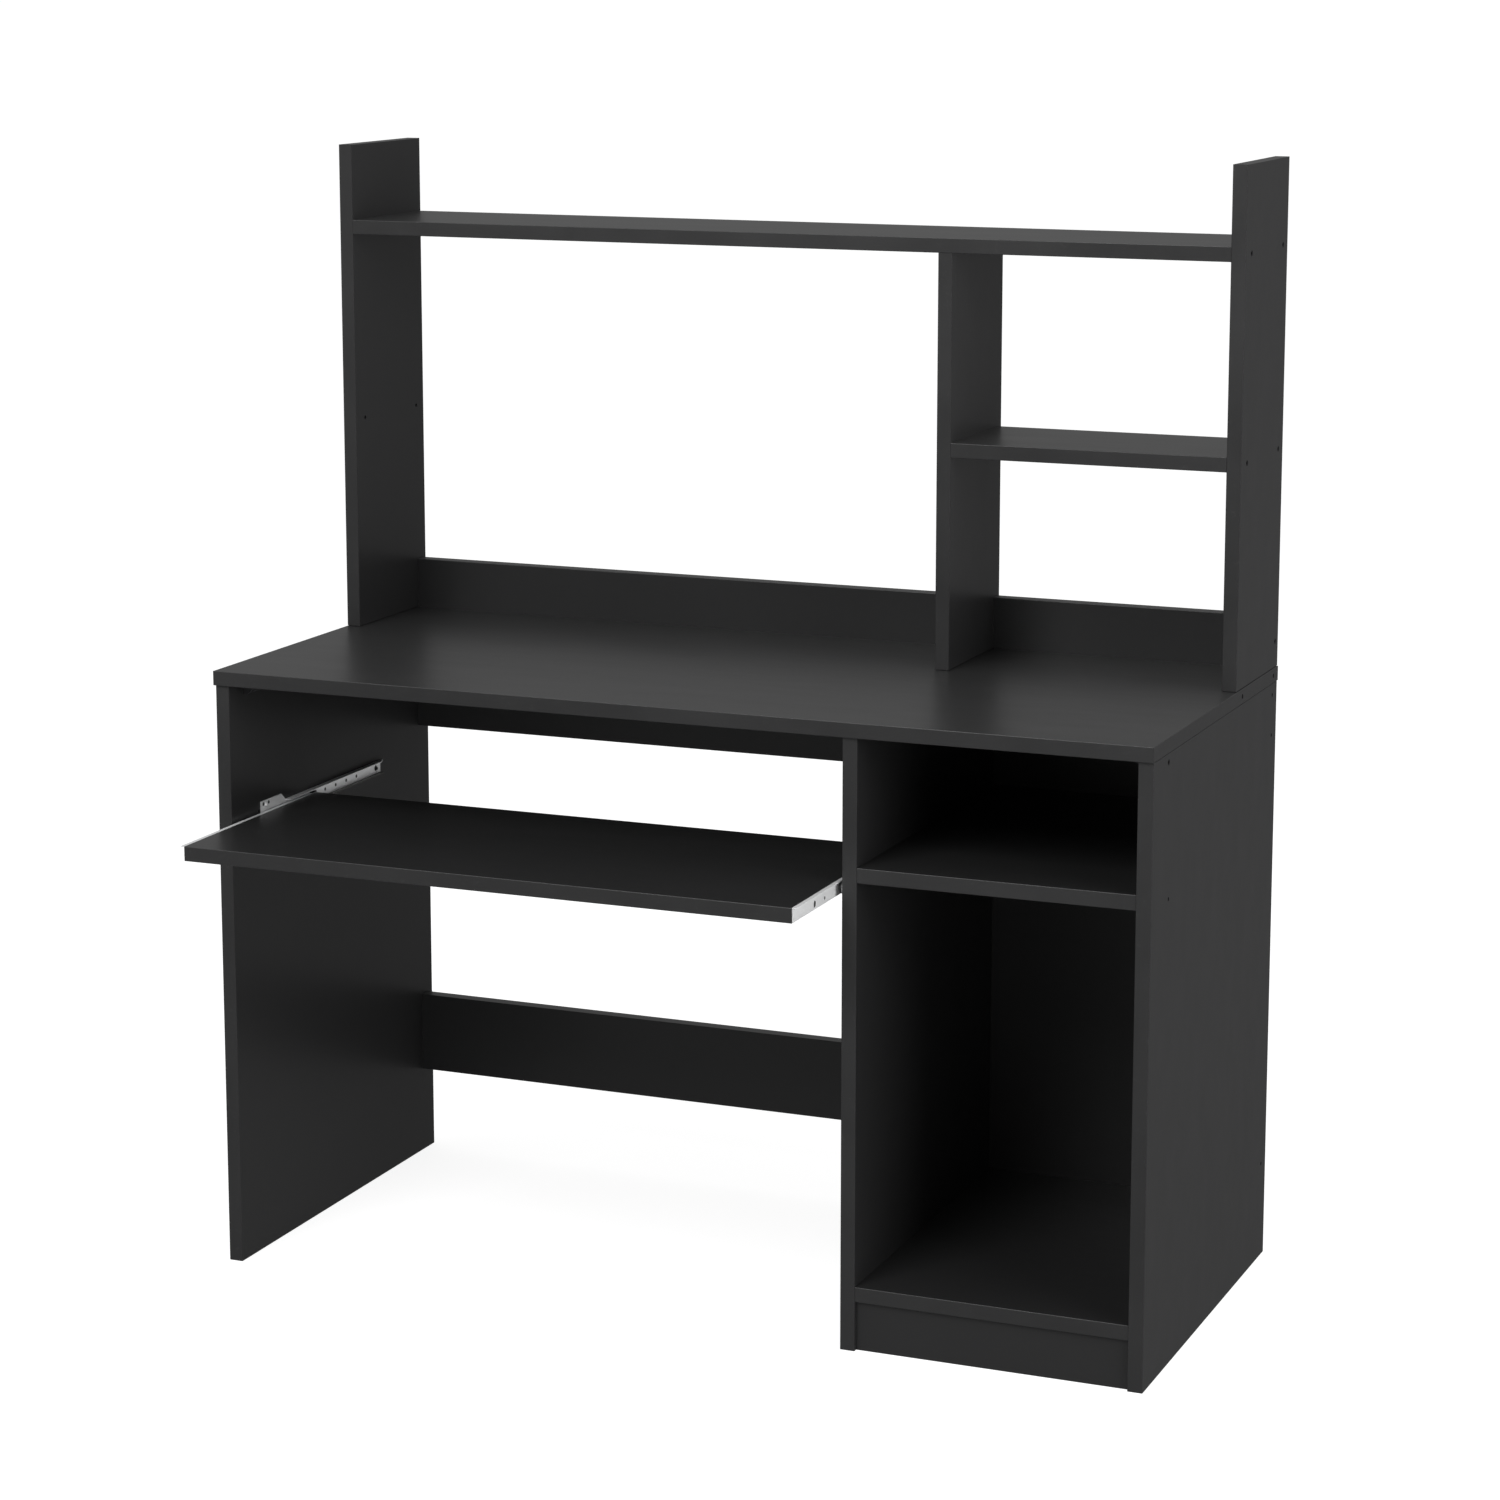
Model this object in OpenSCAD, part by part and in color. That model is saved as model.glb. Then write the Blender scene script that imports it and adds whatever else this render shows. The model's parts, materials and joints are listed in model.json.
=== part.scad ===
// Computer desk with a kneehole, a tower bay, a sliding keyboard tray and a shelf hutch.
// Millimetres, +Z up, front towards -Y. The origin is on the floor, under the centre of the
// whole desk as it stands here, with its tray pulled out.

/* [Desk] */
// Height from the floor to the top of the desktop
desk_h = 750; // [720:1:780]
// Depth of the three standing panels
panel_d = 525; // [500:1:580]
// Thickness of every board
board_t = 18; // [17:1:20]
// How far the desktop reaches past the panels at the front
top_front_lip = 4; // [2:1:12]
// How far the desktop reaches past the outer panels at each side
top_side_lip = 1; // [0.5:0.5:5]
// Thickness of the plastic band glued to the edges of the boards
band_t = 1; // [0.8:0.1:2]

/* [Kneehole and tower bay] */
// Clear width of the kneehole
knee_w = 800; // [700:1:900]
// Clear width of the tower bay
tower_w = 332; // [260:1:400]
// Height of the plinth below the bottom shelf
plinth_h = 60; // [45:1:80]
// How far the plinth stands back from the panels' front edges
plinth_setback = 6; // [2:1:30]
// Height of the top face of the tower bay's shelf
tower_shelf_z = 580; // [500:1:610]
// Front face of the tower bay's back board, behind the panels' front edges
tower_back_y = 482; // [440:1:490]
// Height of the apron under the rear of the desktop
apron_h = 142; // [100:1:150]
// Height of the low stretcher across the back of the kneehole
stretcher_h = 105; // [60:1:140]
// Height of the low stretcher's bottom edge above the floor
stretcher_z = 113; // [90:1:160]
// How far the apron and the stretcher stand in from the rear
rear_rail_inset = 12; // [2:1:16]

/* [Hutch] */
// Height of the hutch's outer panels
hutch_h = 620; // [560:1:700]
// Depth of the hutch's panels
hutch_d = 188; // [170:1:240]
// Clear width of the hutch's left bay
hutch_left_w = 790; // [700:1:850]
// Height of the top shelf's top face above the desktop
top_shelf_z = 525; // [480:1:540]
// Height of the small shelf's top face above the desktop
small_shelf_z = 279; // [200:1:330]
// Depth of the small shelf
small_shelf_d = 180; // [160:1:188]
// Height of the rails along the back of the hutch
back_rail_h = 65; // [40:1:100]
// How far the back rails stand in from the rear
back_rail_inset = 5; // [2:1:12]

/* [Keyboard tray] */
// Depth of the tray, front to back
tray_d = 325; // [290:1:325]
// Height of the tray's top face above the floor
tray_top_z = 561; // [540:1:575]
// How far the tray stands out from the desktop's front edge in this pose
tray_out = 126; // [110:1:126]
// Gap at each side of the tray, filled by a roller slide
slide_gap = 10; // [10:0.5:13]

/* [Hidden] */
$fn = 48;

board_colour = [0.085, 0.085, 0.09];
band_colour = [0.13, 0.13, 0.135];
zinc_colour = [0.72, 0.73, 0.74];
dark_steel_colour = [0.2, 0.2, 0.21];
plastic_colour = [0.05, 0.05, 0.055];
beech_colour = [0.78, 0.62, 0.42];

// --- Where things stand -------------------------------------------------------------------

panels_w = 3 * board_t + knee_w + tower_w;
left_x = [-panels_w / 2, -panels_w / 2 + board_t];
centre_x = [left_x[1] + knee_w, left_x[1] + knee_w + board_t];
right_x = [panels_w / 2 - board_t, panels_w / 2];
rear_y = (panel_d + top_front_lip + tray_out) / 2;
front_y = rear_y - panel_d;
under_top_z = desk_h - board_t;

hutch_front_y = rear_y - hutch_d;
hutch_div_x = [left_x[1] + hutch_left_w, left_x[1] + hutch_left_w + board_t];
top_shelf_top_z = desk_h + top_shelf_z;
small_shelf_top_z = desk_h + small_shelf_z;
back_rail_y = rear_y - back_rail_inset - board_t;
rear_rail_y = rear_y - rear_rail_inset - board_t;

tray_x = [left_x[1] + slide_gap, centre_x[0] - slide_gap];
tray_y = [front_y - top_front_lip - tray_out, front_y - top_front_lip - tray_out + tray_d];

// Sides of a box that an edge band can cover
LEFT = 0;
RIGHT = 1;
FRONT = 2;
BACK = 3;
BOTTOM = 4;
TOP = 5;

// A board is a pair of opposite corners
function board(x, y, z) = [[x[0], y[0], z[0]], [x[1], y[1], z[1]]];
function panel(x, z) = board(x, [front_y, rear_y], z);
function hutch_panel(x, z) = board(x, [hutch_front_y, rear_y], z);
function below(z) = [z - board_t, z];
function behind(y) = [y, y + board_t];

left_side_box = panel(left_x, [0, under_top_z]);
centre_box = panel(centre_x, [0, under_top_z]);
right_side_box = panel(right_x, [0, under_top_z]);
desktop_box = board([left_x[0] - top_side_lip, right_x[1] + top_side_lip],
    [front_y - top_front_lip, rear_y], below(desk_h));
tower_span = [centre_x[1], right_x[0]];
knee_span = [left_x[1], centre_x[0]];
tower_back_face = front_y + tower_back_y;
tower_shelf_box = board(tower_span, [front_y + 1, tower_back_face], below(tower_shelf_z));
bottom_shelf_box = board(tower_span, [front_y + 1, tower_back_face], below(plinth_h + board_t));
plinth_box = board(tower_span, behind(front_y + plinth_setback), [0, plinth_h]);
tower_back_box = board(tower_span, behind(tower_back_face), [plinth_h, under_top_z]);
apron_box = board(knee_span, behind(rear_rail_y), [under_top_z - apron_h, under_top_z]);
stretcher_box = board(knee_span, behind(rear_rail_y), [stretcher_z, stretcher_z + stretcher_h]);

left_hutch_box = hutch_panel(left_x, [desk_h, desk_h + hutch_h]);
right_hutch_box = hutch_panel(right_x, [desk_h, desk_h + hutch_h]);
hutch_divider_box = hutch_panel(hutch_div_x, [desk_h, top_shelf_top_z - board_t]);
top_shelf_box = hutch_panel([left_x[1], right_x[0]], below(top_shelf_top_z));
small_shelf_box = board([hutch_div_x[1], right_x[0]],
    [hutch_front_y, hutch_front_y + small_shelf_d], below(small_shelf_top_z));
back_rail_z = [desk_h, desk_h + back_rail_h];
left_rail_box = board([left_x[1], hutch_div_x[0]], behind(back_rail_y), back_rail_z);
right_rail_box = board([hutch_div_x[1], right_x[0]], behind(back_rail_y), back_rail_z);
tray_box = board(tray_x, tray_y, below(tray_top_z));

// --- Boards and their edge bands ----------------------------------------------------------

function covers(sides, side) = len(search(side, sides)) > 0 ? band_t : 0;

// The board without its bands
function core(b, sides) = [
    b[0] + [covers(sides, LEFT), covers(sides, FRONT), covers(sides, BOTTOM)],
    b[1] - [covers(sides, RIGHT), covers(sides, BACK), covers(sides, TOP)]
];

// The strip of band on one side: front and back bands run full length, the others between them
function strip(b, sides, side) =
    let (
        near_y = b[0].y + (side > BACK || side < FRONT ? covers(sides, FRONT) : 0),
        far_y = b[1].y - (side > BACK || side < FRONT ? covers(sides, BACK) : 0)
    )
    [
        [side == RIGHT ? b[1].x - band_t : b[0].x,
         side == BACK ? b[1].y - band_t : near_y,
         side == TOP ? b[1].z - band_t : b[0].z],
        [side == LEFT ? b[0].x + band_t : b[1].x,
         side == FRONT ? b[0].y + band_t : far_y,
         side == BOTTOM ? b[0].z + band_t : b[1].z]
    ];

module slab(b) {
    translate(b[0]) cube(b[1] - b[0]);
}

// Cross-section of a band, its two outer corners rounded; out is the way it faces
module band_section(size, out) {
    r = 0.8 * band_t;
    along = [abs(out.x), abs(out.y)];
    across = [along.y, along.x];
    corner = [out.x > 0 ? size.x - r : r, out.y > 0 ? size.y - r : r];
    opposite = [across.x * (size.x - 2 * r), across.y * (size.y - 2 * r)];
    translate([out.x < 0 ? r : 0, out.y < 0 ? r : 0]) square(size - r * along);
    translate(r * across) square(size - 2 * r * across);
    intersection() {
        square(size);
        union() {
            translate(corner) circle(r);
            translate(corner + opposite) circle(r);
        }
    }
}

// One band strip, drawn along its longest side
module band(s, side) {
    size = s[1] - s[0];
    sign = side % 2 == 0 ? -1 : 1;
    if (size.z > size.x && size.z > size.y)
        translate(s[0]) linear_extrude(size.z)
            band_section([size.x, size.y], side < FRONT ? [sign, 0] : [0, sign]);
    else if (size.x > size.y)
        translate(s[0]) rotate([90, 0, 90]) linear_extrude(size.x)
            band_section([size.y, size.z], side < BOTTOM ? [sign, 0] : [0, sign]);
    else
        translate([s[0].x, s[1].y, s[0].z]) rotate([90, 0, 0]) linear_extrude(size.y)
            band_section([size.x, size.z], side < FRONT ? [sign, 0] : [0, sign]);
}

// A fine groove round the end of an upright, where it meets the desktop
module end_groove(b, z) {
    reach = [groove_d, groove_d, 0];
    difference() {
        slab([[b[0].x - 1, b[0].y - 1, z - groove_h], [b[1].x + 1, b[1].y + 1, z + groove_h]]);
        slab([[b[0].x, b[0].y, z - 2 * groove_h] + reach, [b[1].x, b[1].y, z + 2 * groove_h] - reach]);
    }
}

module bands(b, sides) {
    for (side = sides) band(strip(b, sides, side), side);
}

groove_d = 1.5;
groove_h = 0.8;

panel_bands = [FRONT, BACK];
shelf_bands = [FRONT];
desktop_bands = [FRONT, BACK, LEFT, RIGHT];
hutch_panel_bands = [FRONT, BACK, TOP];
hutch_board_bands = [FRONT, BACK];
rail_bands = [TOP];
apron_bands = [BOTTOM];
stretcher_bands = [TOP, BOTTOM];
tray_bands = [FRONT, BACK];

// --- Fasteners ----------------------------------------------------------------------------
// Each is drawn along +Z from its head at z = 0 downwards, then turned to its place.

hole_gap = 0.1;
screw_d = 4.5;
screw_head_d = 7;
screw_len = 45;
screw_sink = 0.4;
dowel_d = 8;
dowel_in_panel = 12;
dowel_in_board = 18;
cam_d = 15;
cam_h = 12;
cam_reach = 34;
cam_bolt_d = 6;
cam_neck_d = 5;
pin_d = 8;
pin_len = 36;
pin_in_top = 14;
grub_d = 6;
short_screw_d = 3.5;
short_screw_len = 14;

// Turns +Z to point along -X (side -1) or +X (side 1)
module face_x(side) {
    rotate([0, 90 * side, 0]) children();
}

module countersunk_screw(length, d = screw_d, head_d = screw_head_d, gap = 0) {
    head_h = (head_d - d) / 2;
    translate([0, 0, -length - gap]) cylinder(d = d + 2 * gap, h = length + 2 * gap);
    translate([0, 0, -head_h]) cylinder(d1 = d + 2 * gap, d2 = head_d + 2 * gap, h = head_h);
    if (gap > 0) cylinder(d = head_d + 2 * gap, h = 2);
}

module hex_socket() {
    translate([0, 0, -2]) cylinder(d = 3.8, h = 3, $fn = 6);
}

// A countersunk screw with a hexagonal socket
module socket_screw(length) {
    difference() {
        countersunk_screw(length);
        hex_socket();
    }
}

module pan_screw(length, d, head_d, head_h) {
    difference() {
        union() {
            translate([0, 0, -length]) cylinder(d = d, h = length + head_h / 2);
            cylinder(d1 = head_d, d2 = head_d * 0.7, h = head_h);
        }
        for (turn = [0, 90]) rotate(turn)
            translate([-head_d * 0.28, -0.4, head_h - 0.9]) cube([head_d * 0.56, 0.8, 1]);
    }
}

// Spots where the two ends of a board meet a panel: [x, y, z, way from panel into board]
function end_spots(b, ys, zs) = [
    for (e = [[b[0].x, 1], [b[1].x, -1]]) for (y = ys) for (z = zs) [e[0], y, z, e[1]]
];
function mid(b, axis) = (b[0][axis] + b[1][axis]) / 2;

dowel_spots = concat(
    end_spots(bottom_shelf_box, [front_y + 90, front_y + 400], [mid(bottom_shelf_box, 2)]),
    end_spots(tower_shelf_box, [front_y + 90, front_y + 400], [mid(tower_shelf_box, 2)]),
    end_spots(plinth_box, [mid(plinth_box, 1)], [20]),
    end_spots(tower_back_box, [mid(tower_back_box, 1)], [160, 400, 640]),
    end_spots(stretcher_box, [mid(stretcher_box, 1)], [stretcher_z + stretcher_h - 20]),
    [for (z = [15, 45]) [hutch_div_x[0], mid(left_rail_box, 1), desk_h + z, -1]],
    [for (z = [30, 55]) [hutch_div_x[1], mid(right_rail_box, 1), desk_h + z, 1]]
);

// Cams pull a horizontal board's ends on to the panels; [x, y, z, way] as above
cam_spots = concat(
    end_spots(bottom_shelf_box, [front_y + 55, front_y + 435], [mid(bottom_shelf_box, 2)]),
    end_spots(tower_shelf_box, [front_y + 55, front_y + 435], [mid(tower_shelf_box, 2)])
);

module dowel_at(s, gap = 0) {
    translate([s[0], s[1], s[2]]) face_x(s[3])
        translate([0, 0, -dowel_in_panel - gap])
            cylinder(d = dowel_d + 2 * gap, h = dowel_in_panel + dowel_in_board + 2 * gap);
}

// The round pocket for a cam, from the board's underside, and the bore to it from the end
module cam_pocket(s) {
    translate([s[0] + s[3] * cam_reach, s[1], s[2] - board_t / 2 - 1])
        cylinder(d = cam_d + 2 * hole_gap, h = cam_h + 1.5);
    translate([s[0], s[1], s[2]]) face_x(s[3])
        translate([0, 0, -0.5]) cylinder(d = 8, h = cam_reach);
    cam_bolt(s, hole_gap);
}

module cam_disc(s) {
    translate([s[0] + s[3] * cam_reach, s[1], s[2] - board_t / 2]) difference() {
        cylinder(d = cam_d, h = cam_h);
        translate([0, 0, board_t / 2]) face_x(-s[3])
            translate([0, 0, -4]) cylinder(d = 7.6, h = cam_d);
        translate([-4, -0.8, -1]) cube([8, 1.6, 3]);
        translate([-0.8, -4, -1]) cube([1.6, 8, 3]);
    }
}

module cam_bolt(s, gap = 0) {
    translate([s[0], s[1], s[2]]) face_x(s[3]) {
        translate([0, 0, -11 - gap]) cylinder(d = cam_bolt_d + 2 * gap, h = 11 + gap);
        cylinder(d = cam_neck_d, h = cam_reach - 1);
        translate([0, 0, cam_reach - 1]) cylinder(d = 7, h = 2.5);
        cylinder(d = 7.4, h = 1.5);
    }
}

// Holes bored alike through both outer panels, [distance behind the front edge, height]
front_block_y = 58;
rear_block_y = 430;
block_size = [16, 46, 16];
block_screw_z = under_top_z - 11;
rail_screw_z = [under_top_z - 15, under_top_z - 65];
stretcher_screw_z = stretcher_z + 8;
rail_screw_y = rear_rail_y + board_t / 2;
slide_hole = [67, 562];
lug_screw = [82.5, 567];
pilot_d = 3.7;
pilot_depth = 13;
lug_hole_ys = [76.2, 89];
lug_hole_z = 569;

outer_drillings = concat(
    [[front_y + slide_hole[0], slide_hole[1]]],
    [for (z = concat(rail_screw_z, [stretcher_screw_z])) [rail_screw_y, z]]
);

module outer_panel_drillings(x) {
    for (p = outer_drillings)
        translate([x[0] - 1, p[0], p[1]]) face_x(1) cylinder(d = 5, h = board_t + 2);
}

// Long screws through the left and centre panels into the apron and the stretcher
carcass_screw_spots = [
    for (z = concat(rail_screw_z, [stretcher_screw_z]))
        for (e = [[left_x[0], -1], [centre_x[1], 1]])
            [e[0], rail_screw_y, z, e[1]]
];

// Screws through the hutch's panels and divider into its shelves and rails
hutch_screw_ys = [hutch_front_y + 25, hutch_front_y + 167];
hutch_screw_spots = concat(
    [for (e = [[left_x[0], -1], [right_x[1], 1]]) for (y = hutch_screw_ys)
        [e[0], y, mid(top_shelf_box, 2), e[1]]],
    [for (e = [[hutch_div_x[0], -1], [right_x[1], 1]]) for (y = hutch_screw_ys)
        [e[0], y, mid(small_shelf_box, 2), e[1]]],
    [for (e = [[left_x[0], -1], [right_x[1], 1]])
        [e[0], mid(left_rail_box, 1), desk_h + back_rail_h / 2, e[1]]]
);

// Heads sit a little below the panel's face
module screw_place(s) {
    translate([s[0] - s[3] * screw_sink, s[1], s[2]]) face_x(s[3]) children();
}

module screw_cut(s) {
    screw_place(s) countersunk_screw(screw_len, gap = hole_gap);
}

// Steel pins stand in the desktop and carry the hutch's uprights; grub screws lock the outer ones
pin_spots = concat(
    [for (x = [left_x, right_x]) for (y = hutch_screw_ys) [(x[0] + x[1]) / 2, y]],
    [for (y = [hutch_front_y + 25, hutch_front_y + 140])
        [(hutch_div_x[0] + hutch_div_x[1]) / 2, y]]
);
grub_spots = [
    for (e = [[desktop_box[0].x, -1], [desktop_box[1].x, 1]]) for (y = hutch_screw_ys)
        [e[0], y, desk_h - board_t / 2, e[1]]
];

module pin_at(p, gap = 0) {
    translate([p[0], p[1], desk_h - pin_in_top - gap])
        cylinder(d = pin_d + 2 * gap, h = pin_len + 2 * gap);
}

// --- Corner blocks under the desktop ------------------------------------------------------

// [x of the panel's face, y of the middle, way into the bay]. The front blocks of the outer
// panels are screwed from outside, the others from inside.
outer_block_spots = [
    for (side = [[left_x[1], 1], [right_x[0], -1]]) [side[0], front_y + front_block_y, side[1]]
];
inner_block_spots = concat(
    [[centre_x[0], front_y + front_block_y, -1]],
    [for (side = [[left_x[1], 1], [centre_x[0], -1], [right_x[0], -1]])
        [side[0], front_y + rear_block_y, side[1]]]
);

module block_body() {
    size = block_size;
    translate([0, size.y / 2, -size.z]) rotate([90, 0, 0]) linear_extrude(size.y)
        polygon([[0, 0], [6, 0], [size.x, size.z - 6], [size.x, size.z], [0, size.z]]);
}

module block_place(s) {
    translate([s[0], s[1], under_top_z]) mirror([s[2] < 0 ? 1 : 0, 0, 0]) children();
}

block_top_screw_y = 15;
block_screw_x = 11;
block_head_z = -9;
block_head_x = 8;
block_side_z = block_screw_z - under_top_z;

// Two screws of a block go up into the desktop
module block_top_screws(gap = 0) {
    for (y = [-block_top_screw_y, block_top_screw_y])
        translate([block_screw_x, y, block_head_z]) rotate([180, 0, 0])
            countersunk_screw(22, short_screw_d, 6.5, gap);
}

// The third holds it to the panel
module block_inner_screw(gap = 0) {
    translate([block_head_x, 0, block_side_z]) face_x(1)
        countersunk_screw(18, short_screw_d, 6.5, gap);
}

module block_outer_screw(gap = 0) {
    translate([screw_sink - board_t, 0, block_side_z]) face_x(-1)
        countersunk_screw(26, screw_d, screw_head_d, gap);
}

module block_cuts() {
    for (s = outer_block_spots) block_place(s) block_outer_screw(hole_gap);
    for (s = inner_block_spots) block_place(s) block_inner_screw(hole_gap);
    for (s = concat(outer_block_spots, inner_block_spots)) block_place(s)
        block_top_screws(hole_gap);
}

// One block, with room to reach its screws' heads
module block(inner) {
    difference() {
        block_body();
        for (y = [-block_top_screw_y, block_top_screw_y])
            translate([block_screw_x, y, block_head_z - 9]) cylinder(d = 6.7, h = 9);
        if (inner)
            translate([block_head_x, 0, block_side_z]) face_x(1) cylinder(d = 6.7, h = 9);
    }
}

// --- Roller slides ------------------------------------------------------------------------
// A slide is drawn for the left side of the tray, with x = 0 on the panel's face and
// x = slide_gap on the tray's edge; the right slide is its mirror image.

sheet_t = 1.2;
rail_z = [547.5, 564.5];
rail_back = 388;
web_back = 384;
rail_front = 3;
flange_d = 8;
flange_tip_d = 3;
flange_taper = 14;
runner_d = 6.8;
runner_front = 26;
lug_span = [70, 131];
lug_rise = 8.5;
lug_slant = 10;
web_hole_z = 556;
web_hole_d = 4.5;
web_hole_pitch = 28;
web_hole_last = 318;
web_slot_y = 371;
web_slot_w = 4;
slot_len = 8;
web_screw_ys = [45, 110];
front_web_z = 558;
slot_screw = [web_slot_y, web_hole_z];
rail_pan_screws = [lug_screw, slot_screw];
tray_travel_out = 60;
stop_h = 4.3;
roller_d = 14;
roller_x = [2, 6.6];
axle_d = 4;
roller_play = 0.05;
front_roller_y = 13;
tray_rail_len = 333;
tray_rail_setback = 1.5;
tray_flange_d = 4;
tray_flange_len = 315;
tray_rail_back = tray_y[0] + tray_rail_setback + tray_rail_len;
tray_hole_z = tray_top_z - 11;
tray_slot = 68;
tray_slot_w = 5.5;
tray_screw_ys = [99, 190, 285];
runner_top_z = rail_z[0] + sheet_t;
tray_flange_z = tray_top_z - sheet_t;
front_roller_c = [front_y + front_roller_y, tray_flange_z - roller_play - roller_d / 2];
rear_roller_c = [tray_rail_back - roller_d / 2, runner_top_z + roller_play + roller_d / 2];
// The stop meets the rear roller's rim, a little below the level of its axle
stop_back_y = rear_roller_c[0] - tray_travel_out
    - sqrt(pow(roller_d / 2, 2) - pow(roller_d / 2 + roller_play - stop_h, 2)) - 0.3;

module at_slide(side) {
    if (side == LEFT) translate([left_x[1], 0, 0]) children();
    if (side == RIGHT) translate([centre_x[0], 0, 0]) mirror([1, 0, 0]) children();
}

module along_x(y, z, d, x) {
    translate([x[0], y, z]) rotate([0, 90, 0]) cylinder(d = d, h = x[1] - x[0]);
}

// An upright slot through sheet metal, with round ends
module slot_cut(y, z, x, width) {
    flat = slot_len - width;
    for (dz = [-flat / 2, flat / 2]) along_x(y, z + dz, width, x);
    translate([x[0], y - width / 2, z - flat / 2]) cube([x[1] - x[0], width, flat]);
}

module rail_screw_cut(y, z, x, length = short_screw_len) {
    translate([x, y, z]) face_x(1) countersunk_screw(length, short_screw_d, 6, hole_gap);
}

// Fixed channel on the panel: web, roller track, upper flange and an upright fixing lug
module cabinet_rail() {
    web = [-1, sheet_t + 1];
    difference() {
        union() {
            slab(board([0, sheet_t], [front_y + rail_front, front_y + lug_span[0]],
                [rail_z[0], front_web_z]));
            slab(board([0, sheet_t], [front_y + lug_span[0], front_y + web_back], rail_z));
            slab(board([0, runner_d], [front_y + runner_front, front_y + web_back],
                [rail_z[0], runner_top_z]));
            translate([0, 0, rail_z[1] - sheet_t]) linear_extrude(sheet_t) polygon([
                [0, front_y + lug_span[1]],
                [flange_d, front_y + lug_span[1]],
                [flange_d, front_y + rail_back - flange_taper],
                [flange_tip_d, front_y + rail_back],
                [0, front_y + rail_back]
            ]);
            slab(board([0.6, runner_d], [stop_back_y - sheet_t, stop_back_y],
                [rail_z[0], runner_top_z + stop_h]));
            translate([sheet_t, 0, 0]) rotate([90, 0, -90]) mirror([1, 0, 0])
                linear_extrude(sheet_t) polygon([
                    [front_y + lug_span[0], rail_z[1] - 1],
                    [front_y + lug_span[1], rail_z[1] - 1],
                    [front_y + lug_span[1], rail_z[1]],
                    [front_y + lug_span[1] - lug_slant, rail_z[1] + lug_rise],
                    [front_y + lug_span[0], rail_z[1] + lug_rise]
                ]);
        }
        for (i = [0:3])
            along_x(front_y + web_hole_last - i * web_hole_pitch, web_hole_z, web_hole_d, web);
        slot_cut(front_y + web_slot_y, web_hole_z, web, web_slot_w);
        for (y = web_screw_ys) rail_screw_cut(front_y + y, web_hole_z, sheet_t);
        along_x(front_y + lug_screw[0], lug_screw[1], pilot_d, web);
        for (y = lug_hole_ys) along_x(front_y + y, lug_hole_z, 4.5, web);
        along_x(front_roller_c[0], front_roller_c[1], axle_d, web);
    }
}

// Moving rail on the tray's edge: a flat web, an outward flange that rides on the front roller
module tray_rail() {
    web = [slide_gap - sheet_t, slide_gap];
    difference() {
        union() {
            slab(board(web, [tray_rail_back - tray_rail_len, tray_rail_back],
                [tray_top_z - board_t + 0.5, tray_top_z]));
            slab(board([web[0] - tray_flange_d, web[1]],
                [tray_rail_back - tray_rail_len, tray_rail_back - tray_rail_len + tray_flange_len],
                [tray_flange_z, tray_top_z]));
        }
        slot_cut(tray_y[0] + tray_slot, tray_hole_z, [web[0] - 1, web[1] + 1], tray_slot_w);
        for (y = tray_screw_ys) rail_screw_cut_out(tray_y[0] + y, tray_hole_z, web[0]);
        along_x(rear_roller_c[0], rear_roller_c[1], axle_d, [web[0] - 1, web[1] + 1]);
    }
}

// A countersunk hole that opens towards the panel
module rail_screw_cut_out(y, z, x, length = short_screw_len) {
    translate([x, y, z]) face_x(-1) countersunk_screw(length, short_screw_d, 6, hole_gap);
}

module roller(c) {
    difference() {
        along_x(c[0], c[1], roller_d, roller_x);
        along_x(c[0], c[1], axle_d + 2 * roller_play, [roller_x[0] - 1, roller_x[1] + 1]);
    }
}

module front_axle() {
    along_x(front_roller_c[0], front_roller_c[1], axle_d, [0, 7.6]);
    along_x(front_roller_c[0], front_roller_c[1], 6, [roller_x[1] + 0.3, 7.8]);
}

module rear_axle() {
    along_x(rear_roller_c[0], rear_roller_c[1], axle_d, [1.6, slide_gap]);
    along_x(rear_roller_c[0], rear_roller_c[1], 5.5, [1.3, 1.8]);
}

// --- Sub-parts: boards --------------------------------------------------------------------

module left_side_panel() color(board_colour) difference() {
    slab(core(left_side_box, panel_bands));
    end_groove(left_side_box, under_top_z);
    outer_panel_drillings(left_x);
    for (s = carcass_screw_spots) screw_cut(s);
    for (s = dowel_spots) dowel_at(s, hole_gap);
    panel_slide_drillings(LEFT);
    block_cuts();
}

module right_side_panel() color(board_colour) difference() {
    slab(core(right_side_box, panel_bands));
    end_groove(right_side_box, under_top_z);
    outer_panel_drillings(right_x);
    for (s = dowel_spots) dowel_at(s, hole_gap);
    for (s = cam_spots) cam_bolt(s, hole_gap);
    block_cuts();
}

module centre_panel() color(board_colour) difference() {
    slab(core(centre_box, panel_bands));
    end_groove(centre_box, under_top_z);
    for (s = carcass_screw_spots) screw_cut(s);
    for (s = dowel_spots) dowel_at(s, hole_gap);
    for (s = cam_spots) cam_bolt(s, hole_gap);
    panel_slide_drillings(RIGHT);
    block_cuts();
}

module panel_slide_drillings(side) {
    at_slide(side) {
        for (y = web_screw_ys) rail_screw_cut(front_y + y, web_hole_z, sheet_t);
        for (s = rail_pan_screws) along_x(front_y + s[0], s[1], pilot_d, [-pilot_depth, 1]);
    }
}

module desktop() color(board_colour) difference() {
    slab(core(desktop_box, desktop_bands));
    for (p = pin_spots) pin_at(p, hole_gap);
    for (s = grub_spots) grub_bore(s);
    block_cuts();
}

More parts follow.
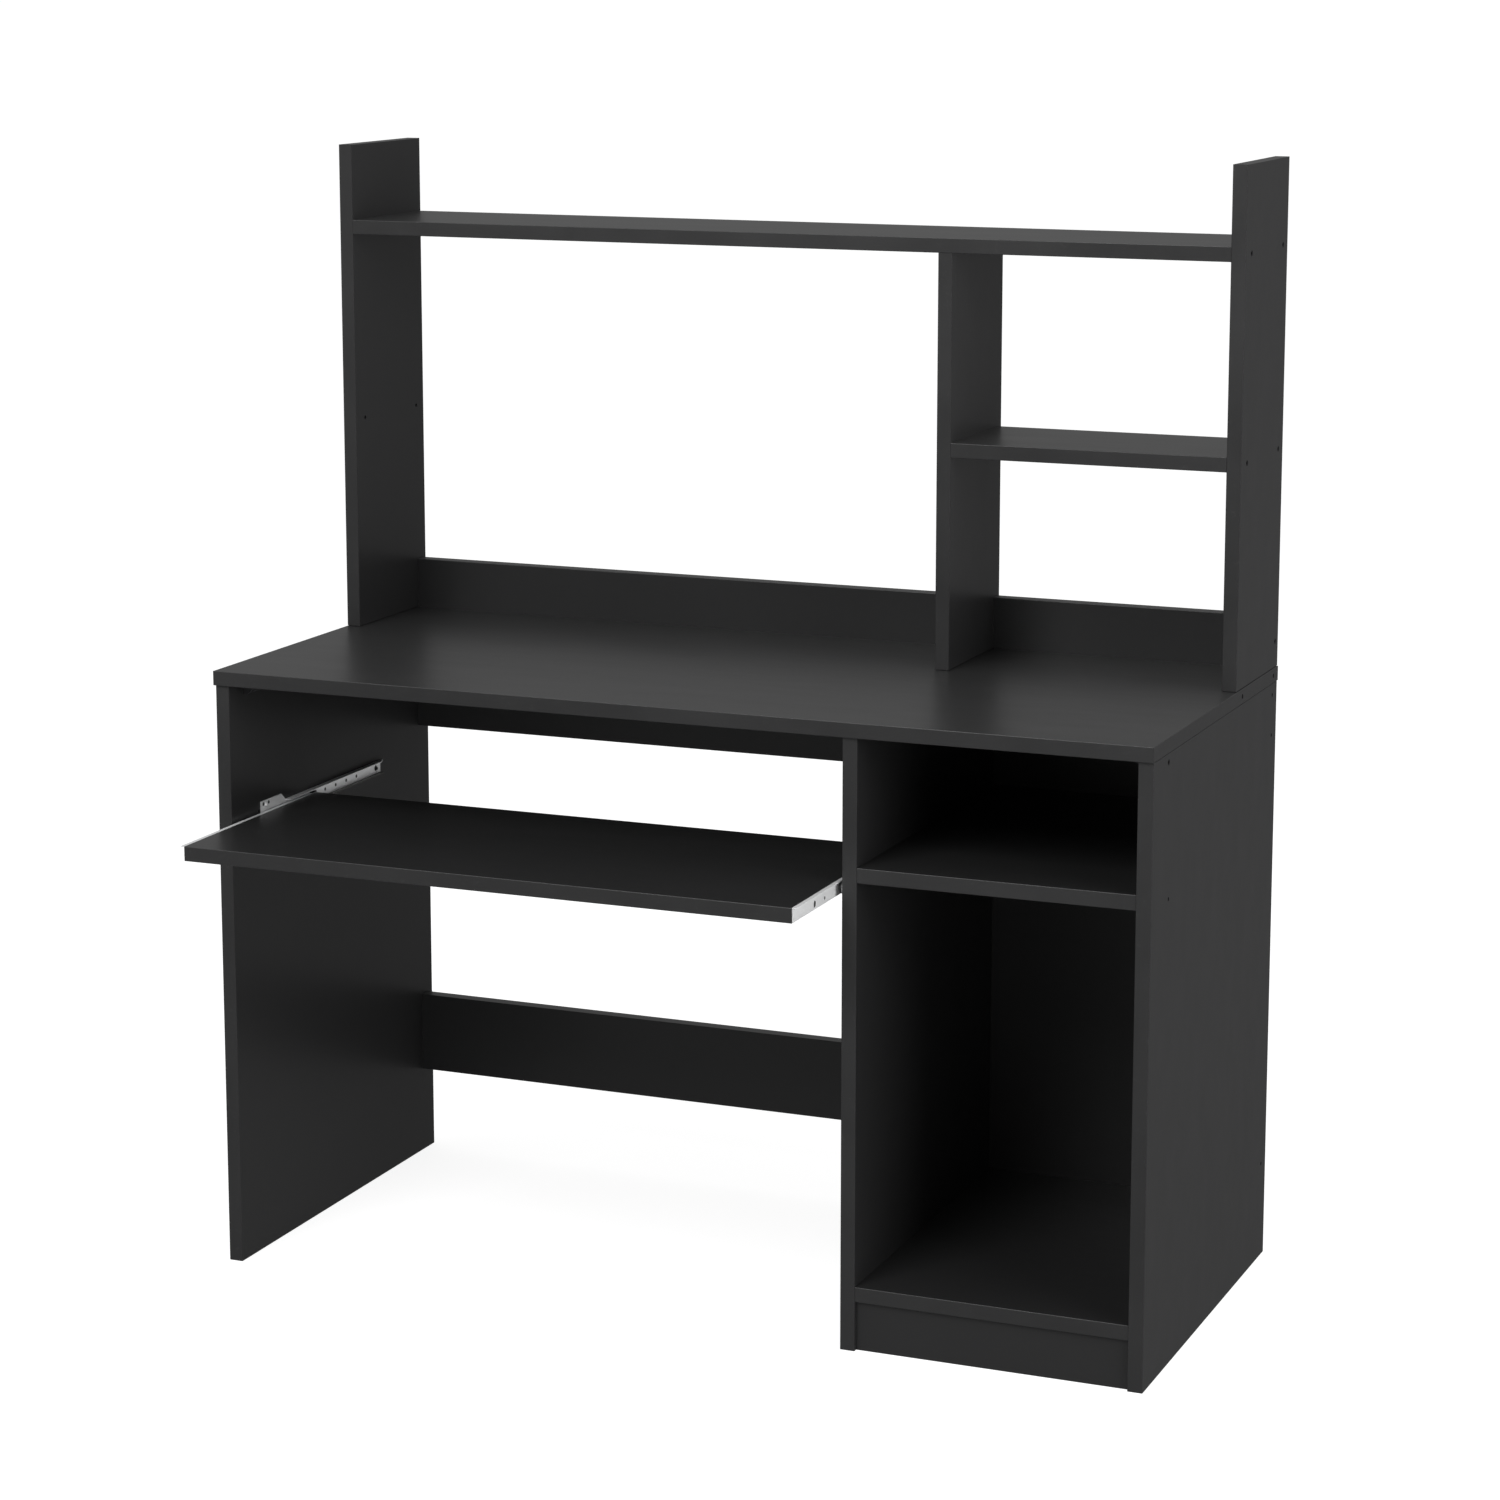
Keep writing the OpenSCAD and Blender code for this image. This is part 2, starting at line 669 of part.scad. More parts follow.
// The bore that a grub screw runs in, from the desktop's side edge to the pin
module grub_bore(s) {
    translate([s[0], s[1], s[2]]) face_x(s[3]) translate([0, 0, -top_side_lip - board_t / 2])
        cylinder(d = grub_d + 2 * hole_gap, h = top_side_lip + board_t / 2 + 1);
}

module tower_shelf() color(board_colour) difference() {
    slab(core(tower_shelf_box, shelf_bands));
    for (s = dowel_spots) dowel_at(s, hole_gap);
    for (s = cam_spots) cam_pocket(s);
}

module bottom_shelf() color(board_colour) difference() {
    slab(core(bottom_shelf_box, shelf_bands));
    for (s = dowel_spots) dowel_at(s, hole_gap);
    for (s = cam_spots) cam_pocket(s);
}

module plinth() color(board_colour) difference() {
    slab(plinth_box);
    for (s = dowel_spots) dowel_at(s, hole_gap);
}

module tower_back() color(board_colour) difference() {
    slab(tower_back_box);
    for (s = dowel_spots) dowel_at(s, hole_gap);
}

module kneehole_apron() color(board_colour) difference() {
    slab(core(apron_box, apron_bands));
    for (s = carcass_screw_spots) screw_cut(s);
}

module lower_stretcher() color(board_colour) difference() {
    slab(core(stretcher_box, stretcher_bands));
    for (s = carcass_screw_spots) screw_cut(s);
    for (s = dowel_spots) dowel_at(s, hole_gap);
}

// Both hutch panels are bored alike for the small shelf
module hutch_panel_shape(b) {
    difference() {
        slab(core(b, hutch_panel_bands));
        end_groove(b, desk_h);
        for (s = hutch_screw_spots) screw_cut(s);
        for (y = hutch_screw_ys)
            translate([b[0].x - 1, y, mid(small_shelf_box, 2)]) face_x(1)
                cylinder(d = 5, h = board_t + 2);
        for (p = pin_spots) pin_at(p, hole_gap);
    }
}

module left_hutch_panel() color(board_colour) hutch_panel_shape(left_hutch_box);

module right_hutch_panel() color(board_colour) hutch_panel_shape(right_hutch_box);

module hutch_divider() color(board_colour) difference() {
    slab(core(hutch_divider_box, hutch_board_bands));
    end_groove(hutch_divider_box, desk_h);
    for (s = hutch_screw_spots) screw_cut(s);
    for (s = dowel_spots) dowel_at(s, hole_gap);
    for (p = pin_spots) pin_at(p, hole_gap);
    for (p = divider_top_dowels) top_dowel(p, hole_gap);
}

// Upright dowels between the divider and the top shelf
divider_top_dowels = [for (y = [hutch_front_y + 40, hutch_front_y + 150])
    [(hutch_div_x[0] + hutch_div_x[1]) / 2, y]];

module top_dowel(p, gap = 0) {
    translate([p[0], p[1], hutch_divider_box[1].z - 18 - gap])
        cylinder(d = dowel_d + 2 * gap, h = 30 + 2 * gap);
}

module top_shelf() color(board_colour) difference() {
    slab(core(top_shelf_box, hutch_board_bands));
    for (s = hutch_screw_spots) screw_cut(s);
    for (p = divider_top_dowels) top_dowel(p, hole_gap);
}

module small_shelf() color(board_colour) difference() {
    slab(core(small_shelf_box, hutch_board_bands));
    for (s = hutch_screw_spots) screw_cut(s);
}

module back_rail_shape(b) {
    difference() {
        slab(core(b, rail_bands));
        for (s = hutch_screw_spots) screw_cut(s);
        for (s = dowel_spots) dowel_at(s, hole_gap);
    }
}

module left_back_rail() color(board_colour) back_rail_shape(left_rail_box);

module right_back_rail() color(board_colour) back_rail_shape(right_rail_box);

module keyboard_tray() color(board_colour) difference() {
    slab(core(tray_box, tray_bands));
    for (side = [LEFT, RIGHT]) at_slide(side)
        for (y = tray_screw_ys)
            rail_screw_cut_out(tray_y[0] + y, tray_hole_z, slide_gap - sheet_t);
}

// --- Sub-parts: edge bands ----------------------------------------------------------------

module carcass_edge_bands() color(band_colour) {
    for (b = [left_side_box, centre_box, right_side_box]) difference() {
        bands(b, panel_bands);
        end_groove(b, under_top_z);
    }
    for (b = [tower_shelf_box, bottom_shelf_box]) bands(b, shelf_bands);
    bands(apron_box, apron_bands);
    bands(stretcher_box, stretcher_bands);
}

module desktop_edge_bands() color(band_colour) difference() {
    bands(desktop_box, desktop_bands);
    for (s = grub_spots) grub_bore(s);
}

module hutch_edge_bands() color(band_colour) {
    for (b = [left_hutch_box, right_hutch_box]) difference() {
        bands(b, hutch_panel_bands);
        end_groove(b, desk_h);
    }
    difference() {
        bands(hutch_divider_box, hutch_board_bands);
        end_groove(hutch_divider_box, desk_h);
    }
    for (b = [top_shelf_box, small_shelf_box]) bands(b, hutch_board_bands);
    for (b = [left_rail_box, right_rail_box]) bands(b, rail_bands);
}

module tray_edge_bands() color(band_colour) bands(tray_box, tray_bands);

// --- Sub-parts: fasteners -----------------------------------------------------------------

module dowels() color(beech_colour) {
    for (s = dowel_spots) dowel_at(s);
    for (p = divider_top_dowels) top_dowel(p);
}

module cam_discs() color(zinc_colour) for (s = cam_spots) cam_disc(s);

module cam_bolts() color(zinc_colour) for (s = cam_spots) cam_bolt(s);

module corner_blocks() color(plastic_colour) difference() {
    union() {
        for (s = outer_block_spots) block_place(s) block(false);
        for (s = inner_block_spots) block_place(s) block(true);
    }
    block_cuts();
}

module corner_block_screws() color(dark_steel_colour) {
    for (s = concat(outer_block_spots, inner_block_spots)) block_place(s) block_top_screws();
    for (s = inner_block_spots) block_place(s) block_inner_screw();
    for (s = outer_block_spots) block_place(s) difference() {
        block_outer_screw();
        translate([screw_sink - board_t, 0, block_side_z]) face_x(-1) hex_socket();
    }
}

module carcass_screws() color(dark_steel_colour)
    for (s = carcass_screw_spots) screw_place(s) socket_screw(screw_len);

module hutch_screws() color(dark_steel_colour)
    for (s = hutch_screw_spots) screw_place(s) socket_screw(screw_len);

module hutch_pins() color(zinc_colour) for (p = pin_spots) pin_at(p);

module hutch_pin_grub_screws() color(dark_steel_colour)
    for (s = grub_spots) translate([s[0], s[1], s[2]]) face_x(s[3]) difference() {
        translate([0, 0, -top_side_lip - board_t / 2 + pin_d / 2 + 0.1])
            cylinder(d = grub_d, h = 4);
        translate([0, 0, -3]) cylinder(d = 3, h = 3, $fn = 6);
    }

// --- Sub-parts: slides --------------------------------------------------------------------

module left_cabinet_rail() color(zinc_colour) at_slide(LEFT) cabinet_rail();

module right_cabinet_rail() color(zinc_colour) at_slide(RIGHT) cabinet_rail();

module left_tray_rail() color(zinc_colour) at_slide(LEFT) tray_rail();

module right_tray_rail() color(zinc_colour) at_slide(RIGHT) tray_rail();

// A pan-headed screw through the rail's web, [distance behind the front edge, height]
module rail_pan_screw(s) {
    translate([sheet_t, front_y + s[0], s[1]]) face_x(1)
        pan_screw(pilot_depth, short_screw_d, 6.4, 2);
}

module lug_screws() color(zinc_colour)
    for (side = [LEFT, RIGHT]) at_slide(side) rail_pan_screw(lug_screw);

module cabinet_rail_screws() color(dark_steel_colour)
    for (side = [LEFT, RIGHT]) at_slide(side) {
        for (y = web_screw_ys) translate([sheet_t, front_y + y, web_hole_z]) face_x(1)
            countersunk_screw(short_screw_len, short_screw_d, 6);
        rail_pan_screw(slot_screw);
    }

module tray_rail_screws() color(zinc_colour)
    for (side = [LEFT, RIGHT]) at_slide(side) for (y = tray_screw_ys)
        translate([slide_gap - sheet_t, tray_y[0] + y, tray_hole_z]) face_x(-1)
            countersunk_screw(short_screw_len, short_screw_d, 6);

module front_roller_axles() color(zinc_colour)
    for (side = [LEFT, RIGHT]) at_slide(side) front_axle();

module rear_roller_axles() color(zinc_colour)
    for (side = [LEFT, RIGHT]) at_slide(side) rear_axle();

module left_front_roller() color(plastic_colour) at_slide(LEFT) roller(front_roller_c);

module right_front_roller() color(plastic_colour) at_slide(RIGHT) roller(front_roller_c);

module left_rear_roller() color(plastic_colour) at_slide(LEFT) roller(rear_roller_c);

module right_rear_roller() color(plastic_colour) at_slide(RIGHT) roller(rear_roller_c);

left_side_panel();
centre_panel();
right_side_panel();
desktop();
tower_shelf();
bottom_shelf();
plinth();
tower_back();
kneehole_apron();
lower_stretcher();
left_hutch_panel();
right_hutch_panel();
hutch_divider();
top_shelf();
small_shelf();
left_back_rail();
right_back_rail();
keyboard_tray();
carcass_edge_bands();
desktop_edge_bands();
hutch_edge_bands();
tray_edge_bands();
dowels();
cam_discs();
cam_bolts();
corner_blocks();
corner_block_screws();
carcass_screws();
hutch_screws();
hutch_pins();
hutch_pin_grub_screws();
left_cabinet_rail();
right_cabinet_rail();
lug_screws();
cabinet_rail_screws();
left_tray_rail();
right_tray_rail();
tray_rail_screws();
front_roller_axles();
rear_roller_axles();
left_front_roller();
right_front_roller();
left_rear_roller();
right_rear_roller();
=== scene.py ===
import json
import math

import bmesh
import bpy
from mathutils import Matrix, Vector


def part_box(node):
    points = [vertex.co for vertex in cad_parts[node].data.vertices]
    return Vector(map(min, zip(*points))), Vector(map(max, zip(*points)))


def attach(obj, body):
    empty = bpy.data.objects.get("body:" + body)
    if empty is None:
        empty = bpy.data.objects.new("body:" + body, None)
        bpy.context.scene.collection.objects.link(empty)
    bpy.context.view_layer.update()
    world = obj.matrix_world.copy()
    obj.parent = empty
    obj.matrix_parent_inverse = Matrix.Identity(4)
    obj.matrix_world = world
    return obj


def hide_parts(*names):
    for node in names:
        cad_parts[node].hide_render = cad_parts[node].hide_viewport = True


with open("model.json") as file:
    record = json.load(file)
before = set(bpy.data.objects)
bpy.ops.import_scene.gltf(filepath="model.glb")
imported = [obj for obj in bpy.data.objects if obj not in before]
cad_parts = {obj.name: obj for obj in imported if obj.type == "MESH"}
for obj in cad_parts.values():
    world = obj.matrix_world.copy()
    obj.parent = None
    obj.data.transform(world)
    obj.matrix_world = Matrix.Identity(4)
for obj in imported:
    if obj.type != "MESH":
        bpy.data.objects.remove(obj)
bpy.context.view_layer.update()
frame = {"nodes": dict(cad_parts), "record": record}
NODES = frame["nodes"]

MM = 0.001
NOISE_ROUGHNESS = 0.55
SCENE = bpy.context.scene


# --- Node helpers ---------------------------------------------------------------------------

class Tree:
    """Short names for adding nodes to an emptied tree and wiring them."""

    def __init__(self, tree):
        self.tree = tree
        tree.nodes.clear()

    def node(self, kind, **settings):
        made = self.tree.nodes.new(kind)
        for name, value in settings.items():
            setattr(made, name, value)
        return made

    def wire(self, source, target):
        self.tree.links.new(source, target)

    def feed(self, value, socket):
        """Wires another node's output into the socket, or sets a plain value on it."""
        if isinstance(value, bpy.types.NodeSocket):
            self.wire(value, socket)
        else:
            socket.default_value = value

    def put(self, node, **values):
        """Feeds the inputs of these names, with _ for each blank."""
        for name, value in values.items():
            self.feed(value, node.inputs[name.replace("_", " ")])

    def math(self, operation, a, b):
        made = self.node("ShaderNodeMath", operation=operation)
        self.feed(a, made.inputs[0])
        self.feed(b, made.inputs[1])
        return made.outputs[0]

    def spread(self, value, source, target):
        """Maps a number from the source range to the target range, held at both ends."""
        made = self.node("ShaderNodeMapRange")
        self.put(made, Value=value, From_Min=source[0], From_Max=source[1],
                 To_Min=target[0], To_Max=target[1])
        return made.outputs[0]

    def noise(self, where, scale, detail=4.0, distortion=0.0):
        """Cloudy noise from 0 to 1, mostly between 0.3 and 0.7."""
        made = self.node("ShaderNodeTexNoise")
        self.put(made, Vector=where, Scale=scale, Detail=detail, Roughness=NOISE_ROUGHNESS,
                 Distortion=distortion)
        return made.outputs["Fac"]

    def cells(self, where, scale):
        """Voronoi cells, with their Distance and Color outputs."""
        made = self.node("ShaderNodeTexVoronoi")
        self.put(made, Vector=where, Scale=scale)
        return made

    def stretched(self, where, scales):
        """The same coordinates, scaled along each axis."""
        made = self.node("ShaderNodeMapping")
        self.put(made, Vector=where, Scale=scales)
        return made.outputs[0]

    def blend(self, amount, a, b):
        """Mixes a with b by amount. Each of the two is a colour or another node's output."""
        made = self.node("ShaderNodeMix", data_type="RGBA")
        self.wire(amount, made.inputs[0])
        colour_inputs = [s for s in made.inputs if s.type == "RGBA"]
        for socket, colour in zip(colour_inputs, (a, b)):
            is_output = isinstance(colour, bpy.types.NodeSocket)
            self.feed(colour if is_output else (*colour, 1.0), socket)
        return [s for s in made.outputs if s.type == "RGBA"][0]

    def bump(self, height, strength, distance):
        made = self.node("ShaderNodeBump")
        self.put(made, Height=height, Strength=strength, Distance=distance)
        return made.outputs[0]


def start_material(name):
    """A new material: itself, its tree, its shader and the piece's own coordinates in metres."""
    made = bpy.data.materials.new(name)
    made.use_nodes = True
    tree = Tree(made.node_tree)
    shader = tree.node("ShaderNodeBsdfPrincipled")
    out = tree.node("ShaderNodeOutputMaterial")
    tree.wire(shader.outputs[0], out.inputs["Surface"])
    where = tree.node("ShaderNodeTexCoord").outputs["Object"]
    return made, tree, shader, where


# --- Materials ------------------------------------------------------------------------------

def shade(tone, factor, lift=0.0):
    """The tone made darker or paler by a factor, and paler by a lift."""
    return [c * factor + lift for c in tone]


def melamine(name, tone):
    """Black melamine face: a fine leather-like press texture, faint cloudy wear and dust."""
    made, tree, shader, where = start_material(name)
    pits = tree.cells(where, scale=900.0).outputs["Distance"]
    pebble = tree.noise(where, scale=1400.0, detail=3.0)
    cloud = tree.noise(where, scale=5.0, detail=5.0, distortion=0.4)
    smear = tree.noise(tree.stretched(where, (3.0, 14.0, 9.0)), scale=2.0, detail=6.0)
    dust = tree.spread(tree.noise(where, scale=260.0, detail=2.0), (0.66, 0.82), (0.0, 0.25))
    colour = tree.blend(cloud, shade(tone, 0.93), shade(tone, 1.08))
    colour = tree.blend(dust, colour, shade(tone, 1.5))
    rough = tree.math("ADD", tree.spread(smear, (0.3, 0.7), (0.30, 0.33)),
                      tree.spread(cloud, (0.35, 0.65), (-0.01, 0.01)))
    tree.put(shader, Base_Color=colour, Roughness=rough)
    height = tree.math("ADD", tree.math("MULTIPLY", pits, 0.6), tree.math("MULTIPLY", pebble, 0.4))
    tree.put(shader, Normal=tree.bump(height, strength=0.22, distance=0.00012))
    return made


def edge_band(name, tone):
    """Extruded plastic band: a fine pebbled texture and a slightly scuffed sheen."""
    made, tree, shader, where = start_material(name)
    pebble = tree.noise(where, scale=1600.0, detail=2.0)
    cloud = tree.noise(where, scale=9.0, detail=4.0)
    streaks = tree.noise(where, scale=120.0, detail=6.0, distortion=1.2)
    scuff = tree.spread(streaks, (0.62, 0.8), (0.0, 0.5))
    colour = tree.blend(cloud, shade(tone, 0.85), shade(tone, 1.2))
    colour = tree.blend(scuff, colour, shade(tone, 2.0, lift=0.003))
    tree.put(shader, Base_Color=colour, Roughness=tree.spread(cloud, (0.3, 0.7), (0.36, 0.46)))
    tree.put(shader, Normal=tree.bump(pebble, strength=0.18, distance=0.0001))
    return made


def zinc(name):
    """Zinc-plated sheet: pale satin metal with faint spangle and fine rolling lines."""
    made, tree, shader, where = start_material(name)
    split_colour = tree.node("ShaderNodeSeparateColor")
    tree.wire(tree.cells(where, scale=260.0).outputs["Color"], split_colour.inputs[0])
    spangle = split_colour.outputs[0]
    grain = tree.noise(tree.stretched(where, (1400.0, 12.0, 1400.0)), scale=1.0, detail=3.0)
    cloud = tree.noise(where, scale=40.0, detail=5.0)
    colour = tree.blend(cloud, (0.74, 0.745, 0.75), (0.82, 0.825, 0.83))
    colour = tree.blend(tree.spread(spangle, (0.0, 1.0), (0.0, 0.2)), colour, (0.86, 0.865, 0.87))
    rough = tree.math("ADD", tree.spread(grain, (0.3, 0.7), (0.38, 0.46)),
                      tree.spread(spangle, (0.0, 1.0), (-0.03, 0.03)))
    tree.put(shader, Base_Color=colour, Roughness=rough)
    tree.put(shader, Normal=tree.bump(grain, strength=0.06, distance=0.00005))
    shader.inputs["Metallic"].default_value = 0.4
    return made


def painted_shade_zinc(name):
    """Painted shade for roller tracks, punched edges and screw recesses: dark zinc with smeared
    streaks.
    """
    made, tree, shader, where = start_material(name)
    smear = tree.noise(tree.stretched(where, (500.0, 60.0, 500.0)), scale=1.0, detail=5.0)
    tree.put(shader, Base_Color=tree.blend(smear, (0.09, 0.09, 0.088), (0.19, 0.188, 0.18)))
    tree.put(shader, Roughness=tree.spread(smear, (0.3, 0.7), (0.34, 0.5)))
    tree.put(shader, Normal=tree.bump(smear, strength=0.08, distance=0.00005))
    shader.inputs["Metallic"].default_value = 0.9
    return made


def black_oxide(name):
    """Blackened steel screws: dull, with small rubbed spots of brighter metal."""
    made, tree, shader, where = start_material(name)
    cloud = tree.noise(where, scale=700.0, detail=5.0)
    rubbed = tree.spread(tree.noise(where, scale=420.0, detail=6.0), (0.6, 0.75), (0.0, 0.6))
    colour = tree.blend(cloud, (0.02, 0.02, 0.022), (0.045, 0.044, 0.046))
    colour = tree.blend(rubbed, colour, (0.16, 0.155, 0.15))
    tree.put(shader, Base_Color=colour, Roughness=tree.spread(cloud, (0.3, 0.7), (0.38, 0.55)))
    tree.put(shader, Normal=tree.bump(cloud, strength=0.15, distance=0.00006))
    shader.inputs["Metallic"].default_value = 0.9
    return made


def nylon(name):
    """Moulded black nylon: spark-eroded texture with slightly paler high spots."""
    made, tree, shader, where = start_material(name)
    grain = tree.noise(where, scale=2200.0, detail=3.0)
    cloud = tree.noise(where, scale=60.0, detail=4.0)
    colour = tree.blend(cloud, (0.014, 0.014, 0.015), (0.024, 0.024, 0.025))
    colour = tree.blend(tree.spread(grain, (0.6, 0.8), (0.0, 0.4)), colour, (0.04, 0.04, 0.042))
    tree.put(shader, Base_Color=colour, Roughness=tree.spread(grain, (0.3, 0.7), (0.42, 0.56)))
    tree.put(shader, Normal=tree.bump(grain, strength=0.2, distance=0.00008))
    return made


def beech(name):
    """Bare beech: pinkish tan with short dark flecks along the grain."""
    made, tree, shader, where = start_material(name)
    grain = tree.noise(tree.stretched(where, (40.0, 500.0, 500.0)), scale=1.0, detail=5.0)
    fine_grain = tree.noise(tree.stretched(where, (160.0, 2200.0, 2200.0)), scale=1.0)
    flecks = tree.spread(fine_grain, (0.6, 0.72), (0.0, 0.7))
    colour = tree.blend(grain, (0.46, 0.29, 0.15), (0.62, 0.44, 0.26))
    colour = tree.blend(flecks, colour, (0.27, 0.14, 0.06))
    tree.put(shader, Base_Color=colour, Roughness=tree.spread(grain, (0.3, 0.7), (0.55, 0.72)))
    tree.put(shader, Normal=tree.bump(grain, strength=0.25, distance=0.0001))
    return made


MATERIALS = {
    "board": melamine("black_melamine", (0.0165, 0.0165, 0.0168)),
    "edge_band": edge_band("black_edge_band", (0.0185, 0.0185, 0.0188)),
    "zinc": zinc("zinc_plate"),
    "dark_steel": black_oxide("black_oxide_steel"),
    "black_nylon": nylon("moulded_nylon"),
    "beech": beech("bare_beech"),
}
# Dark zinc that paints the shade in holes, recesses and along the rollers' tracks
PAINTED_SHADE = painted_shade_zinc("painted_shade_zinc")
SLOT_OF = {p["node"]: p["material_slot"] for p in frame["record"]["subparts"]}
BODY_OF = {
    node: body
    for body, members in frame["record"]["behaviour"]["bodies"].items()
    for node in members
}


def paint(piece, slot_name):
    """Only the slot's material on the piece."""
    piece.data.materials.clear()
    piece.data.materials.append(MATERIALS[slot_name])


for node_name, node_object in NODES.items():
    paint(node_object, SLOT_OF[node_name])


# --- Floor, world, lights, camera -----------------------------------------------------------

FLOOR_HALF = 150.0
FLOOR_DROP = 0.0002
FLOOR_GLOW = 0.85
HORIZON = 0.12
ZENITH = 0.72


def floor_material():
    """Matt floor that glows by itself, so that it shows as white with faint shadows."""
    made, tree, shader, where = start_material("pale_floor")
    cloud = tree.noise(where, scale=1.5, detail=4.0)
    tree.put(shader, Base_Color=tree.blend(cloud, (0.33, 0.33, 0.33), (0.36, 0.36, 0.36)))
    tree.put(shader, Roughness=tree.spread(cloud, (0.3, 0.7), (0.8, 0.9)))
    shader.inputs["Specular IOR Level"].default_value = 0.1
    shader.inputs["Emission Color"].default_value = (1.0, 1.0, 1.0, 1.0)
    shader.inputs["Emission Strength"].default_value = FLOOR_GLOW
    return made


floor_mesh = bpy.data.meshes.new("studio_floor")
corners = [(x * FLOOR_HALF, y * FLOOR_HALF, 0) for x, y in ((-1, -1), (1, -1), (1, 1), (-1, 1))]
floor_mesh.from_pydata(corners, [], [(0, 1, 2, 3)])
floor_mesh.materials.append(floor_material())
floor = bpy.data.objects.new("studio_floor", floor_mesh)
floor.location.z = -FLOOR_DROP
floor.visible_glossy = False  # keeps the white floor from showing as a mirror image in the boards
SCENE.collection.objects.link(floor)

# The sky that lights the desk is dim near the horizon and brighter overhead, and shows as
# plain white where the camera sees it directly.
world = bpy.data.worlds.new("studio")
world.use_nodes = True
SCENE.world = world
sky = Tree(world.node_tree)
split_way = sky.node("ShaderNodeSeparateXYZ")
sky.wire(sky.node("ShaderNodeTexCoord").outputs["Generated"], split_way.inputs[0])
up = sky.math("MAXIMUM", split_way.outputs["Z"], 0.0)
glow = sky.spread(up, (0.0, 1.0), (HORIZON, ZENITH))
seen_directly = sky.node("ShaderNodeLightPath").outputs["Is Camera Ray"]
background = sky.node("ShaderNodeBackground")
background.inputs["Color"].default_value = (1.0, 1.0, 1.0, 1.0)
sky.wire(sky.math("MAXIMUM", glow, seen_directly), background.inputs["Strength"])
sky_out = sky.node("ShaderNodeOutputWorld")
sky.wire(background.outputs[0], sky_out.inputs["Surface"])


def area_light(name, place, target, size, watts):
    """A softbox at this place, turned to face the target. Places and sizes are in metres."""
    data = bpy.data.lights.new(name, "AREA")
    data.shape = "RECTANGLE"
    data.size, data.size_y = size
    data.energy = watts
    light = bpy.data.objects.new(name, data)
    light.location = place
    light.rotation_euler = (Vector(target) - Vector(place)).to_track_quat("-Z", "Y").to_euler()
    SCENE.collection.objects.link(light)
    return light


area_light("overhead_softbox", place=(-0.4, -0.6, 4.2), target=(0.0, 0.0, 0.4),
           size=(4.0, 4.0), watts=15.0)
right_softbox = area_light("right_softbox", place=(3.3, -0.9, 1.4), target=(0.0, -0.1, 0.7),
                           size=(2.4, 2.6), watts=104.0)
right_softbox.visible_glossy = False  # its mirror image would wash out the shelves from behind
area_light("front_softbox", place=(-1.0, -4.1, 4.2), target=(0.0, 0.0, 0.6),
           size=(2.4, 2.4), watts=180.0)

# The camera, solved from board edges and corners in the photograph
CAMERA_PLACE = (1.76816, -4.20174, 1.62014)
CAMERA_TILT = 1.394432
CAMERA_TURN = 0.392357
camera_data = bpy.data.cameras.new("camera")
camera_data.lens = 92.375
camera_data.sensor_width = 36.0
camera_data.shift_y = -0.08
camera_data.clip_start = 0.05
camera_data.clip_end = 500.0
camera = bpy.data.objects.new("camera", camera_data)
camera.location = CAMERA_PLACE
camera.rotation_euler = (CAMERA_TILT, 0.0, CAMERA_TURN)
SCENE.collection.objects.link(camera)
SCENE.camera = camera
SCENE.view_settings.view_transform = "Standard"


# --- Finished pieces ------------------------------------------------------------------------

MERGE_GAP = 0.5e-6
FLAT_ANGLE = math.radians(0.5)
EDGE_ANGLE = math.radians(40.0)
SHARP_ANGLE = math.radians(38.0)
FACES_SIDEWAYS = 0.99


def copy_of(node_name):
    """The node's mesh as a new piece with flat faces merged, so that its edges can be shaped."""
    name = node_name + "_finished"
    mesh = NODES[node_name].data.copy()
    mesh.name = name
    shape = bmesh.new()
    shape.from_mesh(mesh)
    bmesh.ops.remove_doubles(shape, verts=shape.verts, dist=MERGE_GAP)
    bmesh.ops.dissolve_limit(shape, angle_limit=FLAT_ANGLE, verts=shape.verts, edges=shape.edges)
    shape.to_mesh(mesh)
    shape.free()
    piece = bpy.data.objects.new(name, mesh)
    SCENE.collection.objects.link(piece)
    return piece


def adopt(piece, node_name):
    """The piece stands for the node: it takes the node's body and its slot's material, and the
    node is hidden.
    """
    paint(piece, SLOT_OF[node_name])
    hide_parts(node_name)
    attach(piece, BODY_OF[node_name])
    return piece


def rounded(node_name, radius, segments):
    """The node with its sharp edges rounded off."""
    piece = copy_of(node_name)
    bevel = piece.modifiers.new("edges", "BEVEL")
    bevel.width = radius
    bevel.segments = segments
    bevel.limit_method = "ANGLE"
    bevel.angle_limit = EDGE_ANGLE
    piece.data.shade_smooth()
    piece.data.set_sharp_from_angle(angle=SHARP_ANGLE)
    return adopt(piece, node_name)


def paint_shade(piece, face_numbers):
    """Gives the faces of these numbers the dark material of painted shade."""
    piece.data.materials.append(PAINTED_SHADE)
    for number in face_numbers:
        piece.data.polygons[number].material_index = 1


# Slides. A punched hole's wall has only small faces, centred midway through the web.
RAIL_EDGE = 0.28 * MM
PUNCHED_AREA = 7 * MM * MM
MID_WEB_GAP = 0.1 * MM
SQUARE_TO_WEB = 0.05
TRACK_H = 2.4 * MM
UNDERSIDE = -0.5


def punched_faces(piece):
    """The walls of the holes and slots in a rail's web."""
    faces = piece.data.polygons
    sides = [f for f in faces if abs(f.normal.x) > FACES_SIDEWAYS]
    web = sorted(sides, key=lambda f: -f.area)[:2]
    web_x = (web[0].center.x + web[1].center.x) / 2
    return [f.index for f in faces
            if abs(f.center.x - web_x) < MID_WEB_GAP
            and abs(f.normal.x) < SQUARE_TO_WEB and f.area < PUNCHED_AREA]


